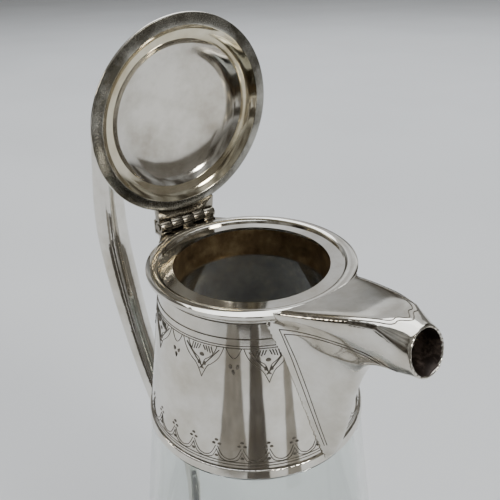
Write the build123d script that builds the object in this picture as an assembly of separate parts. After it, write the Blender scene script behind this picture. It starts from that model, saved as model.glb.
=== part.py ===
from build123d import *
import math
import os

# A silver-mounted glass claret jug with a hinged lid.
# Millimetres, +Z up, and the origin is the centre of the underside of the glass.
# The spout points along +X, the handle and the hinge are on the -X side, and the hinge runs along Y.
# The lid is drawn closed and then swung open about the hinge, because open is the rest position.

# ---- overall sizes ----
RIM_HEIGHT = 208.0            # widest line of the rim bead, above the table
BASE_RADIUS = 58.6            # outside of the glass at the table
RIM_RADIUS = 36.0             # outside of the rim bead
MOUTH_RADIUS = RIM_RADIUS - 9.1   # clear opening of the silver mouth
LID_OPEN_ANGLE = 82.3         # degrees from closed to the open stop

# ---- glass ----
GLASS_WALL = 3.0
GLASS_FLOOR = 6.0
GLASS_EDGE_ROUND = 2.0        # rounding where the side meets the base
SHOULDER_STEP = 1.0           # the body stands out from the neck by this much
NECK_LIP_DROP = 12.5          # glass lip below the rim

# ---- silver collar and rim ----
SHEET = 0.8                   # thickness of the silver sheet
COLLAR_TOP_RADIUS = RIM_RADIUS - 4.3
COLLAR_FOOT_RADIUS = 40.1
NECK_TOP_RADIUS = COLLAR_TOP_RADIUS - 2.8     # outside of the glass neck at its lip
NECK_FOOT_RADIUS = COLLAR_FOOT_RADIUS - 1.2   # outside of the glass neck at the foot of the collar
COLLAR_TOP_DROP = 2.0         # top of the sleeve below the rim
COLLAR_FOOT_DROP = 60.8       # foot of the sleeve below the rim
BAND_HEIGHT = 3.4             # plain band round the foot of the collar
BAND_THICK = 0.5
PLATE_DROP = 1.0              # flat ring of the mouth below the rim
BEAD_RISE = 0.3               # top of the rim bead above its widest line
BEAD_DEPTH = 3.0              # underside of the rim bead below its widest line
WIRE_DROP = 4.4               # thin wire under the rim bead
WIRE_RADIUS = 0.7
LINING_THICK = 0.6
POUR_HOLE_WIDTH = 14.0        # opening from the neck into the spout
POUR_HOLE_HEIGHT = 8.0
POUR_HOLE_GAP = 0.7           # above the glass lip

# ---- lid ----
LID_RADIUS = RIM_RADIUS - 0.25
LID_EDGE_RISE = 1.1           # underside of the lid's outer edge above the rim, closed
LID_EDGE_THICK = 1.0
LID_SEAT_RADIUS = LID_RADIUS - 3.85   # inner edge of the flat seat
LID_SEAT_RISE = 0.7
BOWL_RADIUS = LID_RADIUS - 9.05       # where the rounded wall meets the bowl
BOWL_RISE = 3.9
CROWN_RADIUS = BOWL_RADIUS - 6.7      # where the steep side of the bowl meets its shallow crown
CROWN_RISE = 7.6
DOME_RISE = 9.2               # underside of the crown at its centre
BULGE = 0.8                   # how far the lid's curved walls bow out
FLANGE_BACK = 1.4             # height of the flange's inner edge above the bowl
FINIAL_RADIUS = 5.2
FINIAL_HEIGHT = 14.5

# ---- hinge ----
HINGE_REACH = RIM_RADIUS + 4.7   # hinge axis from the jug's axis
HINGE_RISE = 1.0              # hinge axis above the rim
HINGE_LENGTH = 24.6
KNUCKLES = 5
KNUCKLE_RADIUS = 2.2
KNUCKLE_GAP = 0.15
PIN_RADIUS = 0.8
PIN_CLEARANCE = 0.05          # radial, in the lid's knuckles
PIN_HEAD_RADIUS = 1.3
PIN_HEAD_THICK = 0.5
LEAF_THICK = 1.0
WEB_HALF = 1.4                # half thickness of the web under a knuckle
LEAF_SET_IN = 0.5             # how far the lid's plate hangs below the lid's edge
LEAF_SPREAD = 1.35            # the bracket's feet are this much wider than the barrel
STOP_GAP = 0.15               # between the barrel and the open stop

# ---- spout ----
SPOUT_WALL = 0.9
SPOUT_REACH = 72.4            # mouth of the nozzle from the jug's axis
NOZZLE_START = 63.0           # where the nozzle is joined to the shell
NOZZLE_BORE = 6.1
NOZZLE_RADIUS = NOZZLE_BORE + 0.8
NOZZLE_RISE = 1.3             # centre of the nozzle above the rim
MOUTH_TILT = 17.0             # degrees that the mouth leans back
LID_CLEARANCE = 0.25          # between the spout's top plate and the closed lid

# ---- handle ----
HANDLE_WALL = 0.8
TAIL_HEIGHT = 19.0            # centre of the lower fixing above the table
TAIL_DROP = RIM_HEIGHT - TAIL_HEIGHT
TAIL_REACH = BASE_RADIUS + 4.4
ROUTE_DROP = 189.0            # the routes below are drawn for this drop, and stretched to TAIL_DROP
TAIL_BALL_RADIUS = 4.9
PEG_RADIUS = 2.8
GIRDLE_HEIGHT = 14.0          # silver girdle round the glass
GIRDLE_THICK = 0.8
GIRDLE_WIRE = 0.8

# Centre line of the handle: (distance from the jug's axis, height from the rim, radius of the tube).
# The first three belong to the socket on the collar, and the rest to the handle.
SOCKET_RINGS = [(0.2, 1.3), (2.9, 1.0)]   # (distance back from the socket's end, thickness)
SOCKET_ROUTE = [(32.5, -27.5, 7.4), (44.5, -22.0, 5.6), (51.6, -15.0, 5.0)]
HANDLE_ROUTE = [
    (51.6, -15.0, 5.0), (54.2, -5.0, 5.2), (55.4, 6.0, 5.5), (59.5, 18.5, 5.9), (67.5, 29.5, 6.2),
    (78.5, 35.5, 6.5), (89.5, 34.0, 6.7), (98.6, 26.0, 6.8), (104.7, 14.0, 6.9), (108.6, 0.0, 7.0),
    (111.0, -15.0, 7.3), (111.2, -30.0, 7.5), (108.4, -46.0, 7.5), (104.0, -62.0, 7.3),
    (97.8, -80.0, 6.8), (90.4, -96.5, 6.4), (81.6, -113.0, 5.8), (72.8, -129.0, 5.1),
    (65.9, -144.0, 4.5), (62.6, -158.0, 4.1), (62.2, -172.0, 3.9), (TAIL_REACH, -186.0, 3.7),
]

# Plan outlines of the spout at falling heights: (height from the rim, half width beside the rim,
# half-way point, waist or keel, half width at the mouth).
SPOUT_LEVELS = [
    (11.0, 20.3, (45.0, 15.1), (61.0, 9.6), 8.2),
    (2.0, 19.9, (45.0, 14.3), (61.0, 8.6), 7.6),
    (-6.0, 17.6, (44.0, 10.4), (60.0, 5.9), 5.6),
    (-12.0, 17.4, (43.0, 8.2), (55.5, 3.6), 3.4),
    (-18.0, 17.2, (41.0, 7.4), (50.5, 2.9), 2.6),
    (-28.0, 16.9, (40.0, 6.9), (48.2, 2.5), 2.4),
    (-44.5, 15.6, (39.0, 5.7), (44.9, 2.2), 2.1),
    (-62.0, 14.6, (36.3, 5.0), (40.2, 2.1), 2.0),
]
SPOUT_REAR = 26.0             # the outlines start here, inside the collar
SPOUT_BEYOND = 78.0           # and run on past the mouth
TOP_LINE = [(28.0, -0.4), (34.3, 1.6), (53.1, 6.9), (62.3, 8.8), (68.0, 8.8), (SPOUT_REACH, 8.2)]
UNDER_LINE = [(SPOUT_REACH, -5.6), (63.5, -7.7), (55.4, -12.6), (51.4, -20.5), (46.7, -43.4), (41.5, -60.0)]

# Sections across the nozzle: (distance from the jug's axis, half width, lowest, highest, roundness, tilt
# back in degrees). Heights are from the rim, and the roundness is a share of the largest corner radius.
NOZZLE_SECTIONS = [
    (NOZZLE_START, 8.9, -7.8, 8.9, 0.4, 0),
    (SPOUT_REACH - 4.4, 8.0, -6.6, 8.8, 0.8, MOUTH_TILT / 2),
    (SPOUT_REACH, NOZZLE_RADIUS, NOZZLE_RISE - NOZZLE_RADIUS, NOZZLE_RISE + NOZZLE_RADIUS, 0.97, MOUTH_TILT),
]


def rim(height):
    """A height above the table from a height above the rim."""
    return RIM_HEIGHT + height


def between(z, low, high):
    """The radius at height z on the straight line from low to high, each (radius, height)."""
    share = (z - low[1]) / (high[1] - low[1])
    return low[0] + (high[0] - low[0]) * share


COLLAR_TOP = (COLLAR_TOP_RADIUS, rim(-COLLAR_TOP_DROP))
COLLAR_FOOT = (COLLAR_FOOT_RADIUS, rim(-COLLAR_FOOT_DROP))
NECK_LIP = (NECK_TOP_RADIUS, rim(-NECK_LIP_DROP))
NECK_FOOT = (NECK_FOOT_RADIUS, rim(-COLLAR_FOOT_DROP))
SHOULDER = (NECK_FOOT_RADIUS + SHOULDER_STEP, rim(-COLLAR_FOOT_DROP - SHOULDER_STEP))
HINGE_X = -HINGE_REACH
HINGE_Z = rim(HINGE_RISE)
HINGE_AXIS = Axis((HINGE_X, 0, HINGE_Z), (0, 1, 0))


def collar_radius(z):
    return between(z, COLLAR_FOOT, COLLAR_TOP)


def glass_radius(z):
    return between(z, (BASE_RADIUS, 0), SHOULDER)


def outline(*corners):
    """The closed face in the XZ plane with these (radius, height) corners."""
    return Plane.XZ * make_face(Polyline(*corners, close=True))


def turned(face):
    return revolve(face, Axis.Z, 360)


def turned_lines(*lines):
    """A ring whose section is closed by these lines and arcs."""
    return turned(Plane.XZ * make_face(list(lines)))


def largest(shape):
    """The one solid of a shape, without the crumbs that a cut may leave."""
    return shape.solids().sort_by(SortBy.VOLUME)[-1]


def half_round(low, middle, high):
    """The section of a half-round wire: an arc over a straight back."""
    return [ThreePointArc(low, middle, high), Line(high, low)]


# ---------------------------------------------------------------- glass and its seating

def glass_body():
    """A cone of glass with a thick floor, narrowed where the collar covers it."""
    floor_radius = glass_radius(GLASS_FLOOR) - GLASS_WALL
    face = outline(
        (0, 0), (BASE_RADIUS, 0), SHOULDER, NECK_FOOT, NECK_LIP,
        (NECK_LIP[0] - GLASS_WALL, NECK_LIP[1]), (NECK_FOOT[0] - GLASS_WALL, NECK_FOOT[1]),
        (floor_radius, GLASS_FLOOR), (0, GLASS_FLOOR),
    )
    edge = face.vertices().sort_by(Axis.X)[-1]
    face = fillet(edge, GLASS_EDGE_ROUND)
    inside = face.vertices().sort_by_distance((floor_radius, 0, GLASS_FLOOR))[0]
    return turned(fillet(inside, 2 * GLASS_EDGE_ROUND))


def neck_cement():
    """Fills the space between the glass neck, the lining and the collar."""
    lining_outside = MOUTH_RADIUS + LINING_THICK
    ring = turned(outline(
        (lining_outside, COLLAR_TOP[1]), (COLLAR_TOP[0] - SHEET, COLLAR_TOP[1]),
        (COLLAR_FOOT[0] - SHEET, COLLAR_FOOT[1]), NECK_FOOT, NECK_LIP, (lining_outside, NECK_LIP[1]),
    ))
    return ring - pour_hole()


def pour_hole():
    """The way from the neck into the spout, just above the lip of the glass."""
    middle = NECK_LIP[1] + POUR_HOLE_GAP + POUR_HOLE_HEIGHT / 2
    slot = Plane.YZ * RectangleRounded(POUR_HOLE_WIDTH, POUR_HOLE_HEIGHT, POUR_HOLE_HEIGHT / 3)
    return Pos(MOUTH_RADIUS / 2, 0, middle) * extrude(slot, MOUTH_RADIUS)


# ---------------------------------------------------------------- collar and rim

def collar():
    """A tapering sleeve of sheet, pierced behind the spout."""
    sleeve = turned(outline(
        COLLAR_TOP, COLLAR_FOOT, (COLLAR_FOOT[0] - SHEET, COLLAR_FOOT[1]),
        (COLLAR_TOP[0] - SHEET, COLLAR_TOP[1]),
    ))
    return sleeve - pour_hole()


def foot_band():
    """The plain band round the foot of the collar, with rounded edges."""
    low, high = COLLAR_FOOT[1], COLLAR_FOOT[1] + BAND_HEIGHT
    ease = BAND_THICK * 0.8
    low_out = (collar_radius(low + ease) + BAND_THICK, low + ease)
    high_out = (collar_radius(high - ease) + BAND_THICK, high - ease)
    corner = BAND_THICK * 0.7
    return turned_lines(
        Line((collar_radius(high), high), (collar_radius(low), low)),
        ThreePointArc((collar_radius(low), low), (collar_radius(low) + corner, low + 0.2 * ease), low_out),
        Line(low_out, high_out),
        ThreePointArc(high_out, (collar_radius(high) + corner, high - 0.2 * ease),
                      (collar_radius(high), high)),
    )


def rim_plate():
    """The flat ring round the mouth, lying on the end of the collar."""
    top = rim(-PLATE_DROP)
    return turned(outline(
        (MOUTH_RADIUS, COLLAR_TOP[1]), (COLLAR_TOP[0], COLLAR_TOP[1]), (COLLAR_TOP[0], top),
        (MOUTH_RADIUS, top),
    ))


def bead_arcs():
    """The round outside of the rim bead, from the flat ring over the top and down to the collar."""
    middle = (COLLAR_TOP_RADIUS + RIM_RADIUS) / 2
    start = (COLLAR_TOP_RADIUS, rim(-0.4))
    widest = (RIM_RADIUS, rim(-0.3))
    under = (RIM_RADIUS - 1.6, rim(-BEAD_DEPTH))
    over = ThreePointArc(start, (middle, rim(BEAD_RISE)), widest)
    below = ThreePointArc(widest, (RIM_RADIUS - 0.3, rim(-BEAD_DEPTH * 0.6)), under)
    return start, over, below, under


def rim_bead():
    """The rounded moulding round the rim, fitted over the end of the collar."""
    start, over, below, under = bead_arcs()
    foot = (collar_radius(under[1]), under[1])
    return turned_lines(over, below, Line(under, foot), Line(foot, COLLAR_TOP), Line(COLLAR_TOP, start))


def rim_wire():
    """The thin half-round wire under the rim bead."""
    z = rim(-WIRE_DROP)
    low, high = z - WIRE_RADIUS, z + WIRE_RADIUS
    return turned_lines(*half_round(
        (collar_radius(low), low), (collar_radius(z) + WIRE_RADIUS, z), (collar_radius(high), high)))


def gilt_lining():
    """The gilt tube that is seen inside the mouth, standing on the lip of the glass."""
    tube = turned(outline(
        (MOUTH_RADIUS, NECK_LIP[1]), (MOUTH_RADIUS + LINING_THICK, NECK_LIP[1]),
        (MOUTH_RADIUS + LINING_THICK, COLLAR_TOP[1]), (MOUTH_RADIUS, COLLAR_TOP[1]),
    ))
    return tube - pour_hole()


def neck_envelope(clearance=0.0):
    """Everything inside the outer surface of the collar and rim, and the way of the closed lid."""
    reach = RIM_RADIUS + clearance
    low, high = rim(-0.3), rim(2 * DOME_RISE)
    sleeve = turned(outline(
        (0, 0), (COLLAR_FOOT[0], 0), COLLAR_FOOT, COLLAR_TOP, (COLLAR_TOP[0], low), (0, low)))
    return sleeve + rim_wire() + foot_band() + rim_bead() + turned(
        outline((0, low), (reach, low), (reach, high), (0, high)))


# ---------------------------------------------------------------- spout

def spout_outline(level, inset):
    """One closed plan outline of the spout, with its sides moved in by inset."""
    height, rear, half_way, waist, mouth = level
    z = rim(height)
    thin = 0.3                # the least half width that is left inside the keel
    start = (SPOUT_REAR, rear - inset, z)
    middle = (half_way[0] - inset, half_way[1] - inset, z)
    turn = (waist[0] - 1.5 * inset, max(waist[1] - inset, thin), z)
    end = (SPOUT_BEYOND, max(mouth - inset, thin), z)

    def other(point):
        return (point[0], -point[1], point[2])

    return Face(Wire([
        ThreePointArc(start, middle, turn).edge(), Line(turn, end).edge(), Line(end, other(end)).edge(),
        Line(other(end), other(turn)).edge(), ThreePointArc(other(turn), other(middle), other(start)).edge(),
        Line(other(start), start).edge(),
    ]))


def moved_in(line, inset):
    """The points of a falling line, each moved back towards the jug by inset, square to the line."""
    points = []
    for index, (x, z) in enumerate(line):
        before, after = line[max(index - 1, 0)], line[min(index + 1, len(line) - 1)]
        run, drop = after[0] - before[0], after[1] - before[1]
        length = math.hypot(run, drop)
        points.append((x + inset * drop / length, rim(z - inset * run / length)))
    return points


def spout_profile(inset):
    """The side view of the spout: top line, mouth, underside and keel."""
    top = [(x, rim(z) - inset) for x, z in TOP_LINE]
    under = moved_in(UNDER_LINE, inset)
    mouth_low = (top[-1][0], under[0][1])
    back_low = (top[0][0], under[-1][1])
    return Plane.XZ * make_face([
        Spline(*top), Line(top[-1], mouth_low), Line(mouth_low, under[0]), Spline(*under),
        Line(under[-1], back_low), Line(back_low, top[0]),
    ] if inset else [
        Spline(*top), Line(top[-1], under[0]), Spline(*under), Line(under[-1], back_low),
        Line(back_low, top[0]),
    ])


def spout_sides(inset):
    """The block between the two side panels of the spout."""
    return loft([spout_outline(level, inset) for level in SPOUT_LEVELS], ruled=True)


def spout_solid(inset=0.0):
    """The spout as a solid block, or the space inside it when inset is its wall."""
    width = 4 * POUR_HOLE_WIDTH
    return spout_sides(inset) & (Pos(0, width / 2, 0) * extrude(spout_profile(inset), width))


def nozzle_section(x, half_width, low, high, round_share, tilt):
    """A rounded square across the nozzle, leaning back by tilt."""
    height = high - low
    corner = min(half_width, height / 2) * round_share
    face = Plane.YZ * RectangleRounded(2 * half_width, height, corner)
    return Pos(x, 0, rim((low + high) / 2)) * Rot(0, -tilt, 0) * face


def nozzle_outside():
    """From the end of the shell, whose sides it carries on, to a round mouth."""
    return loft([nozzle_section(*section) for section in NOZZLE_SECTIONS]) & spout_sides(0)


def nozzle_bore():
    bore = Plane.YZ * Circle(NOZZLE_BORE)
    return Pos(NOZZLE_START - 1, 0, rim(NOZZLE_RISE)) * extrude(bore, SPOUT_BEYOND - NOZZLE_START)


def beyond_nozzle():
    """The space from the start of the nozzle outwards."""
    size = 4 * POUR_HOLE_WIDTH
    return Pos(NOZZLE_START + size / 2, 0, rim(0)) * Box(size, size, size)


def spout_shell():
    """The body of the spout, a folded sheet open towards the collar and the nozzle."""
    outside = spout_solid() - neck_envelope(LID_CLEARANCE) - beyond_nozzle()
    return largest(outside - spout_solid(SPOUT_WALL))


def spout_nozzle():
    return largest(nozzle_outside() - nozzle_bore())


# ---------------------------------------------------------------- lid, drawn closed

def lid_flange():
    """The cast ring of the lid: a flat seat, and the rounded wall that rises from it."""
    edge_low = (LID_RADIUS, rim(LID_EDGE_RISE))
    edge_high = (LID_RADIUS, rim(LID_EDGE_RISE + LID_EDGE_THICK))
    seat = (LID_SEAT_RADIUS, rim(LID_SEAT_RISE))
    bowl = (BOWL_RADIUS, rim(BOWL_RISE))
    back = (BOWL_RADIUS, rim(BOWL_RISE + FLANGE_BACK))
    step = (LID_SEAT_RADIUS + FLANGE_BACK, edge_high[1] + FLANGE_BACK / 2)
    return turned_lines(
        Line(edge_high, edge_low), Line(edge_low, seat), bulged(seat, bowl), Line(bowl, back),
        bulged(back, step), Line(step, edge_high),
    )


def bulged(start, end):
    """A shallow arc from start to end, curved up and away from the lid's axis."""
    run, rise = abs(end[0] - start[0]), abs(end[1] - start[1])
    length = math.hypot(run, rise)
    middle_x = (start[0] + end[0]) / 2 + BULGE * rise / length
    middle_z = (start[1] + end[1]) / 2 + BULGE * run / length
    return ThreePointArc(start, (middle_x, middle_z), end)


def dome_arcs(lift):
    """Half of the dome's section, raised by lift: the steep side of the bowl and its shallow crown."""
    foot, knee = (BOWL_RADIUS, rim(BOWL_RISE) + lift), (CROWN_RADIUS, rim(CROWN_RISE) + lift)
    top = (0, rim(DOME_RISE) + lift)
    run, drop = CROWN_RADIUS, DOME_RISE - CROWN_RISE
    sphere = (run ** 2 + drop ** 2) / (2 * drop)
    middle = top[1] - sphere + math.sqrt(sphere ** 2 - (run / 2) ** 2)
    return bulged(foot, knee), ThreePointArc(knee, (run / 2, middle), top)


def lid_dome():
    """The sheet dome of the lid."""
    under, over = dome_arcs(0), dome_arcs(SHEET)
    inside, outside = Line(under[1] @ 1, over[1] @ 1), Line(under[0] @ 0, over[0] @ 0)
    return turned_lines(*under, *over, inside, outside)


def finial_collar():
    """The small stepped washer under the finial, hollowed to sit on the dome."""
    base = rim(DOME_RISE + SHEET)
    disc = Pos(0, 0, base - 0.8) * extrude(Circle(FINIAL_RADIUS), 1.8)
    disc += Pos(0, 0, base + 1.0) * extrude(Circle(FINIAL_RADIUS * 0.7), 0.8)
    return disc - dome_block()


def dome_block():
    """Everything under the outside of the dome."""
    side, crown = dome_arcs(SHEET)
    corner = (0, rim(0))
    foot = (BOWL_RADIUS, rim(0))
    return turned_lines(side, crown, Line(crown @ 1, corner), Line(corner, foot), Line(foot, side @ 0))


def finial():
    """A turned knob to lift the lid by."""
    base = rim(DOME_RISE + SHEET) + 1.8
    neck = FINIAL_RADIUS * 0.42
    middle = base + FINIAL_HEIGHT * 0.55
    top = base + FINIAL_HEIGHT
    foot = (neck * 1.3, base)
    stem = (neck, base + 3.0)
    tip = (neck * 0.8, top - 2.0)
    return turned_lines(
        Line((0, base), foot), Line(foot, stem), ThreePointArc(stem, (FINIAL_RADIUS, middle), tip),
        Line(tip, (tip[0], top - 0.6)), Line((tip[0], top - 0.6), (0, top)), Line((0, top), (0, base)),
    )


def opened(shape):
    """The lid's pieces swung from closed to the open stop."""
    return shape.rotate(HINGE_AXIS, -LID_OPEN_ANGLE)


# ---------------------------------------------------------------- hinge, drawn closed

def knuckle_span(index):
    """Where one knuckle starts and ends along Y."""
    pitch = HINGE_LENGTH / KNUCKLES
    start = -HINGE_LENGTH / 2 + index * pitch + KNUCKLE_GAP / 2
    return start, start + pitch - KNUCKLE_GAP


def along_hinge(radius, start, end):
    """A round bar on the hinge axis."""
    bar = extrude(Circle(radius), end - start)
    return Pos(HINGE_X, start, HINGE_Z) * Rot(-90, 0, 0) * bar


def block(x_low, x_high, y_low, y_high, z_low, z_high):
    """A box from its limits."""
    size = Box(x_high - x_low, y_high - y_low, z_high - z_low)
    return Pos((x_low + x_high) / 2, (y_low + y_high) / 2, (z_low + z_high) / 2) * size


def hinge_body_leaf():
    """The bracket on the rim: a shelf with spread feet, the odd knuckles and the open stop."""
    shelf_top = HINGE_Z - KNUCKLE_RADIUS - KNUCKLE_GAP
    half = HINGE_LENGTH / 2
    stop_face = HINGE_X - KNUCKLE_RADIUS - STOP_GAP
    outer = stop_face - LEAF_THICK
    inner = -0.8 * COLLAR_TOP_RADIUS
    foot = -RIM_RADIUS + 2 * LEAF_THICK
    spread = LEAF_SPREAD * half
    plan = make_face(Polyline(
        (outer, half), (HINGE_X + WEB_HALF, half), (foot, spread), (inner, spread),
        (inner, -spread), (foot, -spread), (HINGE_X + WEB_HALF, -half), (outer, -half), close=True))
    leaf = Pos(0, 0, shelf_top - LEAF_THICK) * extrude(plan, LEAF_THICK)
    leaf += block(outer, stop_face, -half, half, shelf_top - LEAF_THICK, HINGE_Z + KNUCKLE_RADIUS)
    for index in range(0, KNUCKLES, 2):
        start, end = knuckle_span(index)
        leaf += block(HINGE_X - WEB_HALF, HINGE_X + WEB_HALF, start, end, shelf_top - LEAF_THICK, HINGE_Z)
        leaf += along_hinge(KNUCKLE_RADIUS, start, end)
    leaf -= along_hinge(PIN_RADIUS, -HINGE_LENGTH, HINGE_LENGTH)
    return leaf - neck_envelope()


def hinge_lid_leaf():
    """The plate on the lid's edge, with the even knuckles."""
    half = HINGE_LENGTH / 2
    low = rim(LID_EDGE_RISE) - LEAF_SET_IN
    high = HINGE_Z + KNUCKLE_RADIUS + 0.1
    clear = KNUCKLE_RADIUS + KNUCKLE_GAP
    leaf = block(HINGE_X + clear, -0.75 * RIM_RADIUS, -half, half, low, high)
    for index in range(1, KNUCKLES, 2):
        start, end = knuckle_span(index)
        leaf += block(HINGE_X, HINGE_X + clear + 0.5, start, end, low, high)
        leaf += along_hinge(KNUCKLE_RADIUS, start, end)
    leaf -= along_hinge(PIN_RADIUS + PIN_CLEARANCE, -HINGE_LENGTH, HINGE_LENGTH)
    disc = Pos(0, 0, rim(-LID_EDGE_RISE)) * extrude(Circle(LID_RADIUS), 2 * DOME_RISE)
    return leaf - disc


def hinge_pin():
    """The pin through all the knuckles, with a flattened head at each end."""
    half = HINGE_LENGTH / 2
    pin = along_hinge(PIN_RADIUS, -half, half)
    pin += along_hinge(PIN_HEAD_RADIUS, -half - PIN_HEAD_THICK, -half + KNUCKLE_GAP / 2)
    return pin + along_hinge(PIN_HEAD_RADIUS, half - KNUCKLE_GAP / 2, half + PIN_HEAD_THICK)


# ---------------------------------------------------------------- handle

def route_centre(point):
    """Where one point of a route lies: its height follows the drop of the handle's tail."""
    reach, height, _ = point
    return Vector(-reach, 0, rim(height * TAIL_DROP / ROUTE_DROP))


def route_direction(route, index):
    """The way the handle runs at one point of its route, from the points on each side."""
    before = route_centre(route[max(index - 1, 0)])
    after = route_centre(route[min(index + 1, len(route) - 1)])
    return (after - before).normalized()


def route_tube(route, thinner=0.0, overrun=0.0, first=None):
    """A round bar of changing thickness along a route, thinner by a wall and longer at both ends."""
    sections = []
    for index, point in enumerate(route):
        way = route_direction(route, index)
        if index == 0 and first:
            way = first
        centre = route_centre(point)
        if index == 0:
            centre -= way * overrun
        if index == len(route) - 1:
            centre += way * overrun
        section = Plane(origin=centre, x_dir=(0, 1, 0), z_dir=way) * Circle(point[2] - thinner)
        sections.append(section)
    return loft(sections)


def joint_direction():
    """The way the handle leaves its socket."""
    return route_direction(SOCKET_ROUTE[:2] + HANDLE_ROUTE[:2], 2)


def handle():
    """The hollow handle, from the socket over the loop and down to the girdle."""
    way = joint_direction()
    outside = route_tube(HANDLE_ROUTE, first=way)
    return outside - route_tube(HANDLE_ROUTE, thinner=HANDLE_WALL, overrun=1.0, first=way)


def handle_socket():
    """The horn on the collar that carries the handle, with two ring mouldings."""
    route = SOCKET_ROUTE
    sections = []
    for index, point in enumerate(route):
        way = joint_direction() if index == len(route) - 1 else route_direction(route, index)
        sections.append(Plane(origin=route_centre(point), x_dir=(0, 1, 0), z_dir=way) * Circle(point[2]))
    horn = loft(sections)
    way = joint_direction()
    end = route_centre(route[-1])
    for back, thick in SOCKET_RINGS:
        ring = Plane(origin=end - way * back, x_dir=(0, 1, 0), z_dir=way) * Torus(route[-1][2] + 0.3, thick)
        horn += ring
    return horn - neck_envelope() - route_tube(HANDLE_ROUTE, first=way)


def tail_ball():
    """The ball that finishes the handle, bored for the peg."""
    ball = Pos(-TAIL_REACH, 0, rim(-TAIL_DROP)) * Sphere(TAIL_BALL_RADIUS)
    return largest(ball - route_tube(HANDLE_ROUTE, first=joint_direction()) - tail_peg())


def tail_peg():
    """The short peg from the middle of the ball to the girdle."""
    z = rim(-TAIL_DROP)
    peg = Pos(-TAIL_REACH, 0, z) * Rot(0, 90, 0) * extrude(Circle(PEG_RADIUS), TAIL_REACH / 4)
    low, high = girdle_line(0, GIRDLE_THICK), girdle_line(2 * z, GIRDLE_THICK)
    girdle = turned(outline((0, 0), low, high, (0, 2 * z)))
    return largest(peg - girdle - route_tube(HANDLE_ROUTE, first=joint_direction()))


def girdle_line(z, out=0.0):
    return (glass_radius(z) + out, z)


def girdle_band():
    """The silver band round the glass that carries the foot of the handle."""
    low, high = rim(-TAIL_DROP) - GIRDLE_HEIGHT / 2, rim(-TAIL_DROP) + GIRDLE_HEIGHT / 2
    return turned(outline(girdle_line(low), girdle_line(low, GIRDLE_THICK),
                          girdle_line(high, GIRDLE_THICK), girdle_line(high)))


def girdle_wire(side):
    """The half-round wire on one edge of the girdle: side is 1 for the upper edge."""
    z = rim(-TAIL_DROP) + side * (GIRDLE_HEIGHT / 2 - GIRDLE_WIRE)
    low = girdle_line(z - GIRDLE_WIRE, GIRDLE_THICK)
    high = girdle_line(z + GIRDLE_WIRE, GIRDLE_THICK)
    return turned_lines(*half_round(low, girdle_line(z, GIRDLE_THICK + GIRDLE_WIRE), high))


# ---------------------------------------------------------------- assembly

def build():
    """Every piece by its node's name."""
    return {
        "glass_body": glass_body(),
        "neck_cement": neck_cement(),
        "collar": collar(),
        "collar_foot_band": foot_band(),
        "rim_plate": rim_plate(),
        "rim_bead": rim_bead(),
        "rim_wire": rim_wire(),
        "gilt_lining": gilt_lining(),
        "spout_shell": spout_shell(),
        "spout_nozzle": spout_nozzle(),
        "hinge_body_leaf": hinge_body_leaf(),
        "hinge_pin": hinge_pin(),
        "hinge_lid_leaf": opened(hinge_lid_leaf()),
        "lid_flange": opened(lid_flange()),
        "lid_dome": opened(lid_dome()),
        "finial_collar": opened(finial_collar()),
        "lid_finial": opened(finial()),
        "handle": handle(),
        "handle_socket": handle_socket(),
        "handle_tail_ball": tail_ball(),
        "handle_tail_peg": tail_peg(),
        "girdle_band": girdle_band(),
        "girdle_wire_upper": girdle_wire(1),
        "girdle_wire_lower": girdle_wire(-1),
    }


os.makedirs("parts", exist_ok=True)
for name, shape in build().items():
    export_step(shape, "parts/" + name + ".step")
    print(name, round(shape.volume / 1000, 2), "cm3")
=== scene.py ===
# %% [markdown]
# # A silver-mounted claret jug
# The jug is a tall cone of clear glass with a silver collar, a beak spout, a looped handle and a hinged lid.
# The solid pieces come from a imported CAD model, which is loaded here as a fixed frame. Blender adds what a
# silversmith adds last: the engraving, the polish and the tarnish. The frame is loaded first, because every
# size below is read from it.

# %% Load the frame and keep its box
import math
import bpy
from mathutils import Matrix, Vector


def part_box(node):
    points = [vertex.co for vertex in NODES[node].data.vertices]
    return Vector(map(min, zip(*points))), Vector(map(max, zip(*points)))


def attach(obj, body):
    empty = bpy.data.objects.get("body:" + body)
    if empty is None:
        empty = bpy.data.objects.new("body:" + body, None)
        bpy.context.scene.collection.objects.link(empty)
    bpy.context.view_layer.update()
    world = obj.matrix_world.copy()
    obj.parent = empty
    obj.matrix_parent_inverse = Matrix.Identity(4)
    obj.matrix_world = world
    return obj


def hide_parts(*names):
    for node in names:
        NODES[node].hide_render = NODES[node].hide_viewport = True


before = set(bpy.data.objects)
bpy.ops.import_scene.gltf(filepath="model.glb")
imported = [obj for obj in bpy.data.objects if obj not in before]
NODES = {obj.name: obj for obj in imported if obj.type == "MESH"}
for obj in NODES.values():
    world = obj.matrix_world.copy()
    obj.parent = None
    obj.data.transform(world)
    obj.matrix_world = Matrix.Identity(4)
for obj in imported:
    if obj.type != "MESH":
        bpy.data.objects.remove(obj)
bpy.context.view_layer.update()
MM = 0.001
print("nodes in the frame:", len(NODES))

# %% [markdown]
# ## Reading sizes from the frame
# The jug is turned about the Z axis, so one number says how wide a piece is at a height: the distance of its
# furthest point from the axis. Heights are counted from the rim, as a silversmith would.

# %% Heights and radii
BEAD_RISE = 0.3 * MM
RIM_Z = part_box("rim_bead")[1].z - BEAD_RISE
RIM_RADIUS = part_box("rim_bead")[1].x
COLLAR_LOW, COLLAR_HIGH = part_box("collar")[0].z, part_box("collar")[1].z
HINGE = (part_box("hinge_pin")[0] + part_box("hinge_pin")[1]) / 2
LID_OPEN_DEGREES = 82.3


def widest(node, low, high):
    """The largest distance from the jug's axis of a node's points between two heights."""
    points = [v.co for v in NODES[node].data.vertices if low <= v.co.z <= high]
    return max(math.hypot(p.x, p.y) for p in points)


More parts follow.
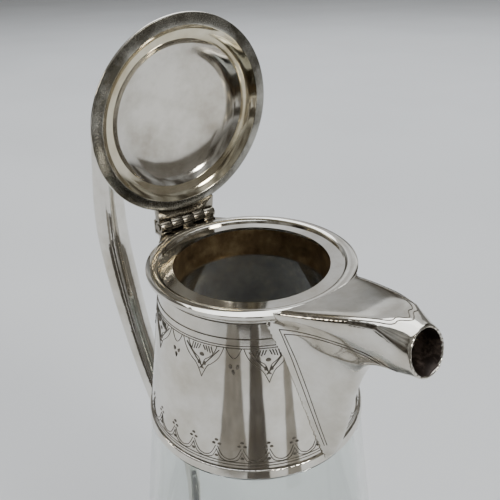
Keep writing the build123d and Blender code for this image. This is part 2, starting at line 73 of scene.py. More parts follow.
COLLAR_FOOT_RADIUS = widest("collar", COLLAR_LOW - MM, COLLAR_LOW + MM)
COLLAR_TOP_RADIUS = widest("collar", COLLAR_HIGH - MM, COLLAR_HIGH + MM)


def collar_radius(z):
    """The outside of the tapering collar at height z."""
    share = (z - COLLAR_LOW) / (COLLAR_HIGH - COLLAR_LOW)
    return COLLAR_FOOT_RADIUS + (COLLAR_TOP_RADIUS - COLLAR_FOOT_RADIUS) * share


print("rim height", round(RIM_Z / MM, 1), "mm")
print("collar radii", round(COLLAR_TOP_RADIUS / MM, 1), round(COLLAR_FOOT_RADIUS / MM, 1), "mm")

# %% [markdown]
# ## Camera
# The jug is seen from the front right and from above, quite close, so the perspective is strong. The camera
# is placed first, because it decides how much detail each piece needs.

# %% Place the camera
SENSOR_MM = 36.0
LENS_MM = 43.2
CAMERA_PLACE = Vector((143.3 * MM, -111.0 * MM, RIM_Z + 95.7 * MM))
CAMERA_TARGET = Vector((-1.2 * MM, 0.4 * MM, RIM_Z + 2.4 * MM))
CAMERA_ROLL = math.radians(-1.77)


def aim(place, target, roll):
    """A rotation that looks from place to target, turned by roll about the line of sight."""
    turn = (target - place).to_track_quat("-Z", "Y").to_matrix()
    return (turn @ Matrix.Rotation(roll, 3, "Z")).to_euler()


bpy.ops.object.camera_add(location=CAMERA_PLACE, rotation=aim(CAMERA_PLACE, CAMERA_TARGET, CAMERA_ROLL))
camera = bpy.context.object
camera.data.sensor_width = SENSOR_MM
camera.data.lens = LENS_MM
camera.data.clip_start = 5 * MM
bpy.context.scene.camera = camera
print("camera distance", round((CAMERA_TARGET - CAMERA_PLACE).length / MM), "mm")

# %% [markdown]
# ## Colours and nodes
# Colours are written as the hex values a painter would pick on screen, and turned to the linear values that
# the shader wants. One small function adds a node, sets it and links it.

# %% Helpers for materials


def colour(code, alpha=1.0):
    """A hex sRGB colour as linear RGBA."""
    values = [int(code[i:i + 2], 16) / 255 for i in (1, 3, 5)]
    linear = [v / 12.92 if v <= 0.04045 else ((v + 0.055) / 1.055) ** 2.4 for v in values]
    return (*linear, alpha)


def add(tree, kind, settings=None, inputs=None):
    """Add a node: settings are its properties, inputs are values or the sockets to link from."""
    node = tree.nodes.new("ShaderNode" + kind)
    for name, value in (settings or {}).items():
        setattr(node, name, value)
    for name, value in (inputs or {}).items():
        if isinstance(value, bpy.types.NodeSocket):
            tree.links.new(value, node.inputs[name])
        else:
            node.inputs[name].default_value = value
    return node


def new_material(name):
    """An empty material with its shader and its tree."""
    material = bpy.data.materials.new(name)
    material.use_nodes = True
    tree = material.node_tree
    return material, tree, tree.nodes["Principled BSDF"]


def ramp(tree, source, stops):
    """A colour ramp over source: stops are (place, hex colour)."""
    node = add(tree, "ValToRGB", inputs={"Fac": source})
    elements = node.color_ramp.elements
    while len(elements) < len(stops):
        elements.new(0.5)
    for element, (place, code) in zip(elements, stops):
        element.position = place
        element.color = colour(code)
    return node.outputs["Color"]


def spread(tree, source, low, high):
    """Source, from 0 to 1, spread between low and high."""
    node = add(tree, "MapRange", inputs={"Value": source, "To Min": low, "To Max": high})
    return node.outputs["Result"]


# %% [markdown]
# ## Silver
# Sterling silver is the whitest of metals. Polished by hand for a century it is never flat: the sheet keeps a
# slow waviness from planishing, hair-fine scratches run in every direction, and tarnish dulls it in soft,
# warm patches. The waviness bends the reflections, the scratches blur them, and the tarnish tints them.

# %% Polished silver
WAVE_MM = 13.0         # spacing of the planishing marks
HAIR_MM = 0.35         # spacing of the polishing scratches, drawn coarser than real ones to show at all
PATCH_MM = 16.0        # size of the tarnish patches


def silver(name, bright, dull, rough, wave=0.05, patch=0.4):
    """Hand-polished silver between a bright and a tarnished colour."""
    material, tree, shader = new_material(name)
    place = add(tree, "TexCoord").outputs["Object"]
    patches = add(tree, "TexNoise", inputs={
        "Vector": place, "Scale": 1 / (PATCH_MM * MM), "Detail": 5.0, "Roughness": 0.62}).outputs["Fac"]
    tint = ramp(tree, patches, [(0.38, bright), (0.38 + patch, dull)])
    tree.links.new(tint, shader.inputs["Base Color"])
    shader.inputs["Metallic"].default_value = 1.0
    hairs = add(tree, "TexNoise", inputs={
        "Vector": place, "Scale": 1 / (HAIR_MM * MM), "Detail": 2.0}).outputs["Fac"]
    blur = add(tree, "Math", {"operation": "MULTIPLY"}, {0: patches, 1: hairs}).outputs["Value"]
    tree.links.new(spread(tree, blur, rough * 0.5, rough * 2.4), shader.inputs["Roughness"])
    waves = add(tree, "TexNoise", inputs={
        "Vector": place, "Scale": 1 / (WAVE_MM * MM), "Detail": 1.0}).outputs["Fac"]
    bent = add(tree, "Bump", inputs={"Height": waves, "Strength": wave, "Distance": 1.2 * MM})
    fine = add(tree, "Bump", inputs={
        "Height": hairs, "Strength": 0.05, "Distance": 0.05 * MM, "Normal": bent.outputs["Normal"]})
    tree.links.new(fine.outputs["Normal"], shader.inputs["Normal"])
    return material


POLISHED = silver("silver_polished", "#E4E1DA", "#BDB5A5", 0.08, wave=0.09)
CAST = silver("silver_cast_worn", "#A39D90", "#5C554A", 0.22, wave=0.14, patch=0.3)
SEAT = silver("silver_seat_matt", "#A5A39B", "#57534A", 0.28, wave=0.14, patch=0.24)
LID_BOWL = silver("silver_lid_bowl", "#DEDAD2", "#A79F90", 0.11, wave=0.20)
LID_WALL = silver("silver_lid_wall_warm", "#E2DAC4", "#A39470", 0.10, wave=0.10)
print("silver finishes ready")

# %% [markdown]
# ## Engraved lines
# An engraver's cut holds dirt that no polishing cloth reaches, so it reads as a thin dark line. It is
# modelled as a fine wire that is half sunk in the surface, in a dull dark silver.

# %% Dirt in the cuts
ENGRAVED, tree, shader = new_material("silver_engraved_dirt")
place = add(tree, "TexCoord").outputs["Object"]
dirt = add(tree, "TexNoise", inputs={"Vector": place, "Scale": 1 / (1.5 * MM), "Detail": 3.0}).outputs["Fac"]
tree.links.new(ramp(tree, dirt, [(0.35, "#4C473F"), (0.65, "#7A746A")]), shader.inputs["Base Color"])
shader.inputs["Metallic"].default_value = 0.7
tree.links.new(spread(tree, dirt, 0.35, 0.6), shader.inputs["Roughness"])
print("engraving finish ready")

# %% [markdown]
# ## Gilt, glass and cement
# The inside of the mouth was once gilt, and wine has turned it brown. The glass is clear and a little
# grey-green in its thickness. The cement between glass and silver has gone brown too, and it shows through
# the neck.

# %% Stained finishes, and the painted shade inside the nozzle


def stain_and_shade_finish(name, stops, metallic, rough, grain_mm):
    """A dull, blotchy finish with a fine grain: stops are the colours of the blotches, real stains on the
    gilt and the cement, and painted shade inside the nozzle.
    """
    material, tree, shader = new_material(name)
    place = add(tree, "TexCoord").outputs["Object"]
    blotch_noise = add(tree, "TexNoise", inputs={
        "Vector": place, "Scale": 1 / (7 * MM), "Detail": 7.0, "Roughness": 0.68}).outputs["Fac"]
    tree.links.new(ramp(tree, blotch_noise, stops), shader.inputs["Base Color"])
    shader.inputs["Metallic"].default_value = metallic
    tree.links.new(spread(tree, blotch_noise, rough * 0.8, rough * 1.4), shader.inputs["Roughness"])
    grain = add(tree, "TexNoise", inputs={
        "Vector": place, "Scale": 1 / (grain_mm * MM), "Detail": 3.0}).outputs["Fac"]
    bump = add(tree, "Bump", inputs={"Height": grain, "Strength": 0.3, "Distance": 0.12 * MM})
    tree.links.new(bump.outputs["Normal"], shader.inputs["Normal"])
    return material


GILT_STOPS = [(0.32, "#56432B"), (0.52, "#7A6446"), (0.7, "#A08C68")]
CEMENT_STOPS = [(0.32, "#54452F"), (0.60, "#75644A"), (0.75, "#94856A")]
# The near-black stops are painted shade for the bore of the nozzle, the recess behind its mouth.
NOZZLE_PAINTED_SHADE_STOPS = [(0.30, "#1E1915"), (0.50, "#3F352F"), (0.62, "#8A7A70")]
GILT = stain_and_shade_finish("gilding_wine_stained", GILT_STOPS, 0.75, 0.36, 1.2)
CEMENT = stain_and_shade_finish("cement_wine_stained", CEMENT_STOPS, 0.0, 0.7, 0.8)
# Near-black finish for the bore of the nozzle: painted shade in the recess behind the mouth.
NOZZLE_PAINTED_SHADE = stain_and_shade_finish("silver_nozzle_inside_painted_shade", NOZZLE_PAINTED_SHADE_STOPS, 0.6, 0.34, 1.6)

# %% Glass
GLASS, tree, shader = new_material("glass_blown_clear")
shader.inputs["Base Color"].default_value = colour("#F4F8F6")
shader.inputs["Transmission Weight"].default_value = 1.0
shader.inputs["IOR"].default_value = 1.5
place = add(tree, "TexCoord").outputs["Object"]
film = add(tree, "TexNoise", inputs={
    "Vector": place, "Scale": 1 / (25 * MM), "Detail": 3.0}).outputs["Fac"]
tree.links.new(spread(tree, film, 0.0, 0.03), shader.inputs["Roughness"])
ripple = add(tree, "Bump", inputs={"Height": film, "Strength": 0.05, "Distance": 0.4 * MM})
tree.links.new(ripple.outputs["Normal"], shader.inputs["Normal"])
print("glass, gilt and cement ready")

# %% [markdown]
# ## Give every CAD piece its finish
# Turned and raised pieces are polished. Cast pieces, such as the hinge and the socket, keep more tarnish.

# %% Finishes by node
FINISHES = {
    "glass_body": GLASS, "neck_cement": CEMENT, "gilt_lining": GILT, "lid_dome": LID_BOWL,
    "hinge_body_leaf": CAST, "hinge_lid_leaf": CAST, "hinge_pin": CAST, "handle_socket": CAST,
}
for name, node in NODES.items():
    node.data.materials.clear()
    node.data.materials.append(FINISHES.get(name, POLISHED))

# %% [markdown]
# ## Tools for new pieces
# Every new piece is made by the same few steps: pick objects, edit their mesh, and apply modifiers. These
# small functions keep those steps short.

# %% Picking, editing and applying


def pick(*objects):
    """Select only these objects, the first one active."""
    bpy.ops.object.select_all(action="DESELECT")
    for item in objects:
        item.select_set(True)
    bpy.context.view_layer.objects.active = objects[0]
    return objects[0]


def applied(piece, kind, **settings):
    """Add one modifier to the piece and apply it."""
    pick(piece)
    modifier = piece.modifiers.new(kind.lower(), kind)
    for name, value in settings.items():
        setattr(modifier, name, value)
    bpy.ops.object.modifier_apply(modifier=modifier.name)
    return piece


def edited(piece, *steps):
    """Run edit-mode steps on the whole mesh: each is (operator, settings)."""
    pick(piece)
    bpy.ops.object.mode_set(mode="EDIT")
    for operator, settings in steps:
        bpy.ops.mesh.select_all(action="SELECT")
        operator(**settings)
    bpy.ops.object.mode_set(mode="OBJECT")
    return piece


def joined(name, parts):
    """Join the parts into one named piece."""
    whole = pick(*parts)
    if len(parts) > 1:
        bpy.ops.object.join()
    whole.name = name
    whole.data.name = name
    return whole


def copied(name, node):
    """A separate copy of a CAD node's mesh, its loose triangles welded and its faces outward."""
    pick(NODES[node])
    bpy.ops.object.duplicate(linked=False)
    piece = bpy.context.view_layer.objects.active
    piece.parent = None
    piece.name = name
    pick(piece)
    bpy.ops.mesh.customdata_custom_splitnormals_clear()
    return edited(
        piece, (bpy.ops.mesh.remove_doubles, {"threshold": 0.002 * MM}),
        (bpy.ops.mesh.normals_make_consistent, {"inside": False}))


def smooth(piece, degrees=35):
    """Smooth shading, with edges sharper than this left crisp."""
    pick(piece)
    bpy.ops.object.shade_smooth_by_angle(angle=math.radians(degrees))
    return piece


def hand_over(piece, body, slot, material, *nodes):
    """Finish a piece: its material, the body it rides on, and the CAD nodes it stands for. The slot is not
    used.
    """
    piece.data.materials.clear()
    piece.data.materials.append(material)
    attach(piece, body)
    if nodes:
        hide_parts(*nodes)
    print(piece.name, len(piece.data.polygons), "faces")
    return piece


# %% Curves, wires and turned rings


def route(points, smooth_line=True, closed=False, detail=6):
    """A mesh line that follows these points."""
    data = bpy.data.curves.new("route", "CURVE")
    data.dimensions = "3D"
    data.resolution_u = detail
    spline = data.splines.new("NURBS" if smooth_line else "POLY")
    spline.points.add(len(points) - 1)
    for spot, place in zip(spline.points, points):
        spot.co = (*place, 1.0)
    spline.use_cyclic_u = closed
    spline.order_u = 3
    spline.use_endpoint_u = not closed
    line = bpy.data.objects.new("route", data)
    bpy.context.collection.objects.link(line)
    pick(line)
    bpy.ops.object.convert(target="MESH")
    return line


def wire(line, thick):
    """A mesh line as a fine round wire."""
    pick(line)
    bpy.ops.object.convert(target="CURVE")
    line.data.bevel_depth = thick / 2
    line.data.bevel_resolution = 1
    line.data.use_fill_caps = True
    bpy.ops.object.convert(target="MESH")
    return line


def turned(name, points, steps=144, closed=True, smooth_line=False):
    """A ring spun about the jug's axis from (radius, height from the rim) points in millimetres."""
    places = [(radius * MM, 0, RIM_Z + height * MM) for radius, height in points]
    ring = route(places, smooth_line, closed)
    ring.name = name
    return edited(
        ring, (bpy.ops.mesh.spin, {
            "steps": steps, "angle": 2 * math.pi, "center": (0, 0, 0), "axis": (0, 0, 1)}),
        (bpy.ops.mesh.remove_doubles, {"threshold": 0.005 * MM}),
        (bpy.ops.mesh.normals_make_consistent, {"inside": False}))


def swung_open(piece):
    """Turn a piece that was made on the closed lid about the hinge, to the open stop."""
    there, back = Matrix.Translation(HINGE), Matrix.Translation(-HINGE)
    pick(piece)
    piece.matrix_world = there @ Matrix.Rotation(math.radians(-LID_OPEN_DEGREES), 4, "Y") @ back
    bpy.ops.object.transform_apply(location=True, rotation=True, scale=True)
    return piece


# %% [markdown]
# ## Lid
# The ring of the lid is cast: a sloping seat, matt from years of rubbing on the rim, a rounded wall, and a
# thin polished edge. The bowl is raised from sheet, and it runs from a steep side to a shallow crown. Both
# are drawn on the closed lid, as (radius, height from the rim) in millimetres, and then swung open.

# %% Lid ring
LID_EDGE = 35.75
SEAT_EDGE = 31.9
BOWL_EDGE = 26.7
SEAT_TOP = 1.2         # the seat lies below this height, and the wall between it and the next
WALL_TOP = 4.2
SHEET = 0.8 * MM       # thickness of the silver sheet
ring_points = [
    (LID_EDGE, 1.35), (LID_EDGE, 1.85), (LID_EDGE - 0.25, 2.1), (SEAT_EDGE + 1.5, 2.75), (30.6, 3.9),
    (29.0, 4.8),
    (BOWL_EDGE, 5.25), (BOWL_EDGE, 3.95), (28.3, 3.55), (29.6, 2.95), (30.7, 2.1), (31.5, 1.15),
    (SEAT_EDGE, 0.78), (SEAT_EDGE + 0.4, 0.74), (LID_EDGE - 0.3, 1.08),
]
lid_ring = swung_open(turned("lid_ring", ring_points, steps=180))
applied(lid_ring, "BEVEL", width=0.12 * MM, segments=2, limit_method="ANGLE", angle_limit=math.radians(28))
smooth(lid_ring, 50)
hand_over(lid_ring, "lid", "silver", POLISHED, "lid_flange")
lid_ring.data.materials.append(SEAT)
lid_ring.data.materials.append(LID_WALL)
back_turn = Matrix.Rotation(math.radians(LID_OPEN_DEGREES), 4, "Y")
for face in lid_ring.data.polygons:
    spot = back_turn @ (face.center - HINGE) + HINGE
    out, rise = math.hypot(spot.x, spot.y) / MM, (spot.z - RIM_Z) / MM
    if out > SEAT_EDGE - 0.1 and rise < SEAT_TOP:
        face.material_index = 1
    elif rise < WALL_TOP and out < SEAT_EDGE:
        face.material_index = 2

# %% Lid bowl
bowl_points = [
    (BOWL_EDGE - 0.02, 3.92), (25.9, 4.7), (24.6, 5.75), (22.9, 6.6), (20.2, 7.55), (15.0, 8.35),
    (9.0, 8.85), (4.0, 9.1), (0.0, 9.15),
]
lid_bowl = turned("lid_bowl", bowl_points, steps=144, closed=False, smooth_line=True)
applied(lid_bowl, "SOLIDIFY", thickness=SHEET, offset=1.0)
edited(lid_bowl, (bpy.ops.mesh.normals_make_consistent, {"inside": False}))
smooth(swung_open(lid_bowl), 50)
hand_over(lid_bowl, "lid", "silver", LID_BOWL, "lid_dome")

# %% [markdown]
# ## Hinge
# The hinge is filed up from cast plate. Its edges are rounded by wear, so each leaf gets a small bevel.

# %% Worn hinge leaves
for node, body in (("hinge_body_leaf", "jug"), ("hinge_lid_leaf", "lid")):
    leaf = copied(node + "_worn", node)
    edited(leaf, (bpy.ops.mesh.dissolve_limited, {"angle_limit": math.radians(1)}))
    applied(leaf, "BEVEL", width=0.22 * MM, segments=2, limit_method="ANGLE", angle_limit=math.radians(40))
    hand_over(smooth(leaf, 30), body, "silver", CAST, node)

# %% [markdown]
# ## Neck cement
# The cement wets the glass: it reaches a hair's breadth past the CAD surface, so glass and cement don't share
# a face.

# %% Cement
WETTING = 0.07 * MM
cement = copied("neck_cement_wet", "neck_cement")
applied(cement, "DISPLACE", strength=WETTING, mid_level=0.0)
hand_over(cement, "jug", "cement", CEMENT, "neck_cement")

# %% [markdown]
# ## Spout
# The spout is folded from sheet and hammered smooth over its corners, so it has no sharp edge except at its
# mouth and where it meets the collar. The CAD shell and nozzle are fused, remeshed in small squares, and
# relaxed. The mouth, and the seams along the collar and the rim, are held still. The joint of the two pieces
# is relaxed once more, and the pull fades out towards the collar and the mouth.

# %% Smooth spout
SPOUT_GRID = 0.4 * MM
HELD_AT_MOUTH = 0.7 * MM
HELD_AT_SEAM = 0.8 * MM
JOINT_START = 54.0     # millimetres from the jug's axis
JOINT_GROWTH = 6.0     # the extra relaxing grows to its full strength over this distance
MOUTH_GROWTH = 4.0     # and over this distance behind the mouth
# Painted shade: inward faces of the nozzle bore within this radius, and this depth behind the mouth, get the
# near-black finish.
PAINTED_SHADE_RADIUS = 6.6 * MM
PAINTED_SHADE_DEPTH = 10.0 * MM
MOUTH_RADIUS = 6.9 * MM
MOUTH_TILT = math.radians(17)
MOUTH_OUT = Vector((math.cos(MOUTH_TILT), 0, math.sin(MOUTH_TILT)))
MOUTH_MIDDLE = Vector((
    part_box("spout_nozzle")[1].x - MOUTH_RADIUS * math.sin(MOUTH_TILT), 0, RIM_Z + 1.3 * MM))
spout = copied("spout", "spout_shell")
nozzle = copied("nozzle_part", "spout_nozzle")
applied(spout, "BOOLEAN", operation="UNION", object=nozzle, solver="EXACT")
bpy.data.objects.remove(nozzle)
applied(spout, "REMESH", mode="VOXEL", voxel_size=SPOUT_GRID)
free = spout.vertex_groups.new(name="free")


def from_neck(place):
    """How far a place is outside the collar, or outside the rim above it."""
    limit = RIM_RADIUS if place.z > RIM_Z - 4 * MM else collar_radius(place.z)
    return math.hypot(place.x, place.y) - limit


def before_mouth(place):
    """How far a place is behind the plane of the mouth."""
    return (MOUTH_MIDDLE - place).dot(MOUTH_OUT)


loose = [
    v.index for v in spout.data.vertices
    if before_mouth(v.co) > HELD_AT_MOUTH and from_neck(v.co) > HELD_AT_SEAM]
free.add(loose, 1.0, "REPLACE")
applied(spout, "SMOOTH", factor=0.5, iterations=220, vertex_group="free")
joint = spout.vertex_groups.new(name="joint")
for v in spout.data.vertices:
    grown_along = (v.co.x / MM - JOINT_START) / JOINT_GROWTH
    grown_behind = (before_mouth(v.co) - HELD_AT_MOUTH) / (MOUTH_GROWTH * MM)
    share = min(grown_along, grown_behind, 1.0)
    if share > 0:
        joint.add([v.index], share, "REPLACE")
applied(spout, "SMOOTH", factor=0.5, iterations=160, vertex_group="joint")
smooth(spout, 80)
hand_over(spout, "jug", "silver", POLISHED, "spout_shell", "spout_nozzle")
# The bore of the nozzle, just behind its mouth, takes the near-black painted shade.
spout.data.materials.append(NOZZLE_PAINTED_SHADE)
for face in spout.data.polygons:
    offset = Vector((0, face.center.y, face.center.z - MOUTH_MIDDLE.z))
    inward = offset.dot(face.normal) < 0
    if inward and offset.length < PAINTED_SHADE_RADIUS and 0.3 * MM < before_mouth(face.center) < PAINTED_SHADE_DEPTH:
        face.material_index = 1

# %% [markdown]
# ## Engraving on the spout
# Two lines follow the edges of each side panel. Two more follow the edges of the top plate and end in an
# ogee.

# %% Lines on the spout
FINE = 0.30 * MM
BOLD = 0.42 * MM


def spout_line(points, thick, side):
    """A cut on the spout through (distance, half width, height from the rim) points in millimetres."""
    line = route([(x * MM, side * y * MM, RIM_Z + z * MM) for x, y, z in points], detail=14)
    applied(line, "SHRINKWRAP", target=spout, wrap_method="NEAREST_SURFACEPOINT", wrap_mode="OUTSIDE_SURFACE",
            offset=-0.15 * thick)
    return wire(line, thick)


SIDE_LINES = [
    [(32.5, 16.6, -6.4), (40.0, 13.6, -4.2), (50.0, 10.2, -3.2), (58.0, 8.2, -3.6), (64.0, 7.6, -5.2),
     (68.0, 6.8, -6.2)],
    [(33.6, 15.6, -7.8), (41.0, 12.6, -5.5), (50.0, 9.8, -4.5), (57.5, 7.9, -4.9), (62.5, 7.0, -6.2)],
    [(32.5, 16.6, -6.4), (34.2, 14.6, -14.0), (36.6, 11.4, -26.0), (39.0, 7.8, -40.0), (41.2, 4.2, -53.0)],
    [(33.6, 15.6, -7.8), (35.4, 13.6, -14.8), (37.8, 10.4, -26.5), (40.0, 7.0, -40.0), (42.0, 3.8, -52.5)],
]
TOP_LINES = [
    [(34.0, 15.9, 1.4), (40.0, 14.6, 3.1), (46.0, 12.9, 4.8), (52.0, 11.0, 6.4),
     (58.0, 8.8, 7.7), (63.0, 6.4, 8.4)],
    [(34.0, 14.7, 1.5), (40.0, 13.4, 3.2), (46.0, 11.7, 4.9), (52.0, 9.8, 6.5),
     (58.0, 7.6, 7.8), (62.0, 5.5, 8.4)],
    [(63.0, 6.4, 8.4), (65.0, 5.2, 8.6), (64.4, 3.0, 8.6), (66.4, 1.3, 8.6), (66.9, 0.0, 8.6)],
    [(62.0, 5.5, 8.4), (63.8, 4.3, 8.6), (63.2, 2.4, 8.6), (65.2, 0.9, 8.6), (65.7, 0.0, 8.6)],
]
cuts = [spout_line(points, BOLD, side) for points in SIDE_LINES for side in (-1, 1)]
cuts += [spout_line(points, BOLD, side) for points in TOP_LINES for side in (-1, 1)]
hand_over(joined("spout_engraving", cuts), "jug", "silver", ENGRAVED)

# %% [markdown]
# ## Engraving on the collar
# Cuts on the collar are drawn flat, as distances round it and heights from the rim, and then laid on its
# cone.

# %% Drawing on the cone


def on_collar(across, height, turn=0.0):
    """The place on the collar at a distance across from the middle of a motif, in millimetres."""
    z = RIM_Z + height * MM
    radius = collar_radius(z)
    angle = across * MM / radius + turn
    return Vector((radius * math.cos(angle), radius * math.sin(angle), z))


def cut(points, thick, **settings):
    return wire(route([on_collar(across, height) for across, height in points], **settings), thick)


def ring_cut(height, thick):
    """A line right round the collar."""
    z = RIM_Z + height * MM
    steps = 180
    around = [2 * math.pi * step / steps for step in range(steps)]
    radius = collar_radius(z)
    return wire(route([(radius * math.cos(a), radius * math.sin(a), z) for a in around], False, True), thick)


def dot(across, height, wide, tall):
    """A small oval punch mark, half sunk."""
    bpy.ops.object.select_all(action="DESELECT")
    bpy.ops.mesh.primitive_ico_sphere_add(subdivisions=2, radius=0.5 * MM, location=on_collar(across, height))
    mark = bpy.context.object
    mark.scale = (0.22, wide, tall)
    bpy.ops.object.transform_apply(location=True, rotation=True, scale=True)
    return mark


def repeated(name, motif, count, start):
    """The motif copied round the collar, each copy with its own mesh."""
    copies = []
    for index in range(count):
        pick(motif)
        bpy.ops.object.duplicate(linked=False)
        mark = bpy.context.view_layer.objects.active
        mark.rotation_euler.z = start + 2 * math.pi * index / count
        bpy.ops.object.transform_apply(location=True, rotation=True, scale=True)
        copies.append(mark)
    bpy.data.objects.remove(motif)
    return joined(name, copies)


# %% Lower border
LOWER_REPEATS = 28
ARCH_HALF = math.pi * 39.3 / LOWER_REPEATS     # half the pitch, in millimetres
LOWER_BASE = -55.0
arch = []
for side in (-1, 1):
    outer = [(side * ARCH_HALF, 1.0), (side * 2.9, 1.3), (side * 1.5, 2.6), (side * 0.35, 5.4)]
    inner = [(side * ARCH_HALF, 0.2), (side * 2.4, 0.5), (side * 0.9, 1.6), (0.0, 4.2)]
    for line in (outer, inner):
        arch.append(cut([(across, LOWER_BASE + rise) for across, rise in line], FINE))
TREFOIL = [(-0.95, 6.3, 1.3, 1.0), (0.95, 6.3, 1.3, 1.0), (0, 7.7, 1.4, 1.0), (0, 1.7, 1.4, 1.1)]
for across, rise, wide, tall in TREFOIL:
    arch.append(dot(across, LOWER_BASE + rise, wide, tall))
lower = repeated("collar_lower_arches", joined("arch", arch), LOWER_REPEATS, math.pi / LOWER_REPEATS)
hand_over(lower, "jug", "silver", ENGRAVED)

# %% Upper border
UPPER_REPEATS = 10
SWAG_HALF = math.pi * 33.4 / UPPER_REPEATS
UPPER_BASE = -13.6
pendant = []
for side in (-1, 1):
    outer = [(side * 7.4, 0.0), (side * 6.4, -3.4), (side * 3.6, -6.4), (side * 1.6, -7.6), (0.0, -11.8)]
    inner = [(side * 5.2, 0.0), (side * 4.4, -2.6), (side * 2.4, -4.6), (side * 0.6, -5.6), (0.0, -8.8)]
    swag = [(side * SWAG_HALF, -3.4), (side * 9.4, -3.2), (side * 8.0, 0.0)]
    for line in (outer, inner, swag):
        pendant.append(cut([(across, UPPER_BASE + drop) for across, drop in line], FINE))
    for step in range(7):
        start = (side * (5.9 - 0.85 * step), -1.2 - 1.0 * step)
        end = (start[0] - side * 1.5, start[1] - 1.7)
        hatch = [(across, UPPER_BASE + drop) for across, drop in (start, end)]
        pendant.append(cut(hatch, BOLD, smooth_line=False))
    for step in range(4):
        start, end = (side * (0.5 + 0.9 * step), -0.6), (side * (1.2 + 0.9 * step), -2.2 - 0.3 * step)
        ray = [(across, UPPER_BASE + drop) for across, drop in (start, end)]
        pendant.append(cut(ray, BOLD, smooth_line=False))
    pendant.append(dot(side * 1.0, UPPER_BASE - 7.0, 1.0, 1.7))
    pendant.append(dot(side * (SWAG_HALF - 1.0), UPPER_BASE - 6.4, 1.4, 1.7))
pendant.append(dot(0, UPPER_BASE - 4.0, 1.8, 1.5))
pendant.append(dot(SWAG_HALF, UPPER_BASE - 8.4, 1.3, 2.0))
upper = repeated("collar_upper_pendants", joined("pendant", pendant), UPPER_REPEATS, math.radians(5.5))
hand_over(upper, "jug", "silver", ENGRAVED)

# %% Lines round the collar
RINGS = [
    (-3.4, 2 * BOLD), (-5.4, BOLD), (-10.5, BOLD), (-12.8, FINE), (-13.6, FINE), (-54.9, FINE), (-55.9, FINE),
    (-57.2, 1.2 * BOLD),
]
rings = joined("collar_ring_lines", [ring_cut(height, thick) for height, thick in RINGS])
hand_over(rings, "jug", "silver", ENGRAVED)

# %% [markdown]
# ## Floor and light
# A pale floor, one large soft light overhead, a window behind and another on the left, and a small lamp in
# front. Silver shows only what is around it, so the room matters as much as the lights.

# %% Floor
FLOOR_SIZE = 12.0
bpy.ops.object.select_all(action="DESELECT")
bpy.ops.mesh.primitive_plane_add(size=FLOOR_SIZE, location=(0, 0, 0))
floor = bpy.context.object
floor.name = "floor"
floor_paint, tree, shader = new_material("floor_pale_paint")
place = add(tree, "TexCoord").outputs["Object"]
shade = add(tree, "TexNoise", inputs={"Vector": place, "Scale": 3.0, "Detail": 2.0}).outputs["Fac"]
tree.links.new(ramp(tree, shade, [(0.3, "#D2D3D4"), (0.7, "#D8D9DA")]), shader.inputs["Base Color"])
shader.inputs["Roughness"].default_value = 0.8
floor.data.materials.append(floor_paint)
print("floor", FLOOR_SIZE, "m wide")

# %% Dark things on the table
# Strips of cloth lie round the jug, out of the camera's sight, and low cards stand among them. The polished
# collar shows them as upright streaks. One tall card faces the open lid, whose bowl mirrors it.


def cloth_finish(name, dark, light):
    """A matt cloth that wanders between two greys."""
    material, tree, shader = new_material(name)
    place = add(tree, "TexCoord").outputs["Object"]
    weave = add(tree, "TexNoise", inputs={"Vector": place, "Scale": 30.0, "Detail": 3.0}).outputs["Fac"]
    tree.links.new(ramp(tree, weave, [(0.3, dark), (0.7, light)]), shader.inputs["Base Color"])
    shader.inputs["Roughness"].default_value = 0.9
    return material


CLOTH_DARK = cloth_finish("cloth_dark", "#3A3632", "#57524C")
CLOTH_GREY = cloth_finish("cloth_grey", "#6E6A64", "#8B8780")


def laid_out(name, turn, place, cloth):
    """A unit square shaped and placed by a matrix, at a turn in degrees round the jug."""
    bpy.ops.object.select_all(action="DESELECT")
    bpy.ops.mesh.primitive_plane_add(size=1)
    piece = bpy.context.object
    piece.name = name
    piece.matrix_world = Matrix.Rotation(math.radians(turn), 4, "Z") @ place
    bpy.ops.object.transform_apply(location=True, rotation=True, scale=True)
    piece.data.materials.append(cloth)


def strip(name, turn, width, near, cloth):
    """A strip on the table that runs outwards from a distance near to STRIP_END."""
    flat = Matrix.Diagonal((STRIP_END - near, width, 1, 1))
    laid_out(name, turn, Matrix.Translation(((near + STRIP_END) / 2, 0, MM)) @ flat, cloth)


def card(name, turn, width, height, away, cloth):
    """A card that stands across, at a distance away."""
    upright = Matrix.Rotation(math.radians(90), 4, "Y") @ Matrix.Diagonal((height, width, 1, 1))
    laid_out(name, turn, Matrix.Translation((away, 0, height / 2)) @ upright, cloth)


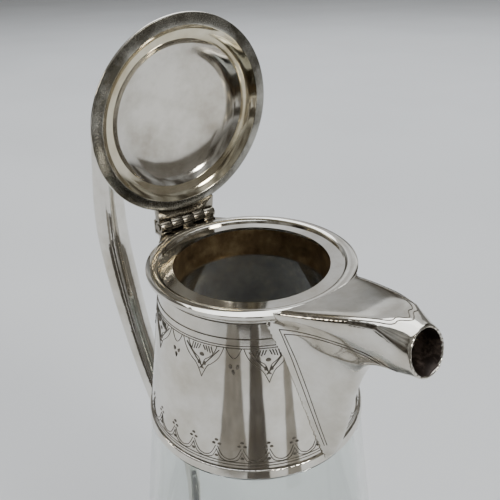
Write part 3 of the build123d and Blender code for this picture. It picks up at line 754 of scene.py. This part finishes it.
STRIP_END = 1.5
strip("cloth_strip_dark", -37, 0.10, 0.26, CLOTH_DARK)
strip("cloth_strip_grey", -60, 0.14, 0.28, CLOTH_GREY)
strip("cloth_strip_warm", -5, 0.06, 0.24, CLOTH_GREY)
card("card_left", -74, 0.26, 0.10, 0.62, CLOTH_DARK)
card("card_middle", -48, 0.16, 0.12, 0.60, CLOTH_DARK)
card("card_right", -20, 0.22, 0.11, 0.58, CLOTH_GREY)
card("card_lid", 30, 0.8, 0.5, 0.9, CLOTH_GREY)
print("strips and cards are laid out")

# %% [markdown]
# ## Room
# The room is a soft grey with darker and lighter upright bands, like walls, doorways and curtains.

# %% Room
world = bpy.data.worlds.new("soft_room")
bpy.context.scene.world = world
world.use_nodes = True
tree = world.node_tree
view = add(tree, "TexCoord").outputs["Generated"]
tall = add(tree, "Mapping", inputs={"Vector": view, "Scale": (2.6, 2.6, 0.7)}).outputs["Vector"]
bands = add(tree, "TexNoise", inputs={
    "Vector": tall, "Scale": 1.0, "Detail": 3.0, "Roughness": 0.55}).outputs["Fac"]
walls = ramp(tree, bands, [(0.38, "#3C3832"), (0.47, "#77736D"), (0.56, "#B4B6B6"), (0.66, "#F2F2F0")])
tree.links.new(walls, tree.nodes["Background"].inputs["Color"])
tree.nodes["Background"].inputs["Strength"].default_value = 0.62
print("room ready")


# %% Lights
def soft_light(name, place, target, size, power, tint, shape="SQUARE"):
    """An area light that faces target."""
    bpy.ops.object.light_add(type="AREA", location=place, rotation=aim(Vector(place), Vector(target), 0))
    light = bpy.context.object
    light.name = name
    light.data.shape = shape
    light.data.size = size
    light.data.energy = power
    light.data.color = colour(tint)[:3]
    return light


MIDDLE = (0, 0, RIM_Z)
soft_light("overhead", (-0.6, 0.7, 2.6), (-0.2, 0.3, 0), 3.0, 92, "#F6FAFF")
soft_light("lamp_front", (1.0, 0.18, RIM_Z + 0.52), MIDDLE, 0.26, 5, "#FFFDF6", "DISK")
soft_light("window_back", (-1.2, 1.5, 1.5), MIDDLE, 1.8, 6, "#F8FBFF")
soft_light("window_left", (-0.9, -1.2, 0.9), MIDDLE, 0.5, 6, "#FFF6E8")
